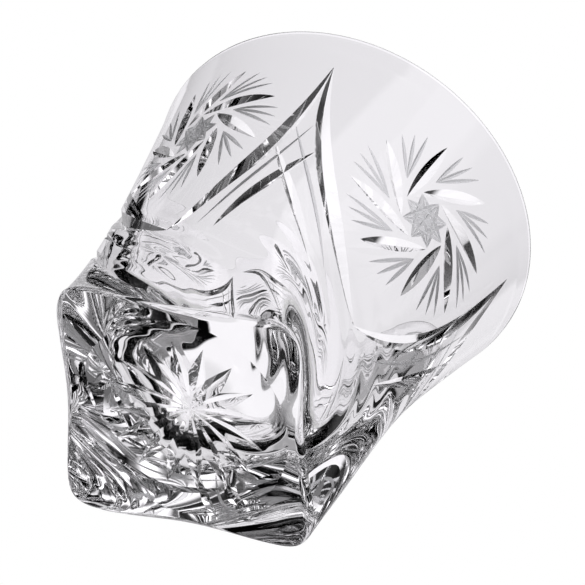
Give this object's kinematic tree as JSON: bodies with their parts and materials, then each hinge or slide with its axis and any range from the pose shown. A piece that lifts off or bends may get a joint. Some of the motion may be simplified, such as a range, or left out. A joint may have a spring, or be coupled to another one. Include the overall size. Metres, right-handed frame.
{
  "type": "schnapps glass",
  "caption": "Cut-crystal schnapps glass that twists from a solid square foot to a round rim, with pinwheel and crossed mitre cuts on the wall and a star in the dished underside.",
  "frame": {"origin": "centre of the underside of the foot, on the table", "axes": "+Z along the glass's axis from the foot to the rim; +X and +Y square to the sides of the foot"},
  "size_m": [0.06, 0.06, 0.0612],
  "materials": {
    "crystal": "polished",
    "ground": "matte"
  },
  "bodies": {
    "root": {"foot": "crystal", "bowl": "crystal", "rim": "crystal"}
  },
  "joints": []
}
